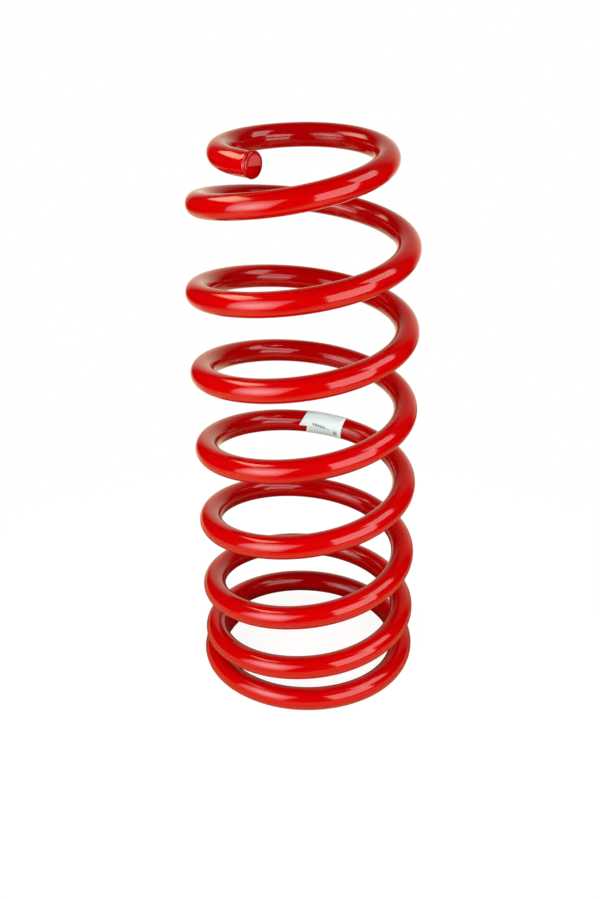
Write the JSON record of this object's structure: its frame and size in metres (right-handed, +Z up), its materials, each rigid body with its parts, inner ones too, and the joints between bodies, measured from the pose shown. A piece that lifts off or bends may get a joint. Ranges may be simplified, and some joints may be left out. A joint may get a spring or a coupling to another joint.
{
  "type": "helical spring",
  "caption": "Helical compression spring of round bar for a suspension, with a stepped-in seat coil at the top, a closed foot coil and a small paper label round the bar.",
  "frame": {"origin": "on the coil's axis, in the plane that the foot coil stands on", "axes": "+Z up the coil's axis from the wide foot coil to the narrow seat coil; -Y faces the viewer, with the cut upper end a little left of the front"},
  "size_m": [0.1554, 0.1537, 0.3859],
  "materials": {
    "powder_coat": "gloss",
    "label_paper": "matt"
  },
  "bodies": {
    "root": {"coil_spring": "powder_coat", "paper_label": "label_paper"}
  },
  "joints": []
}
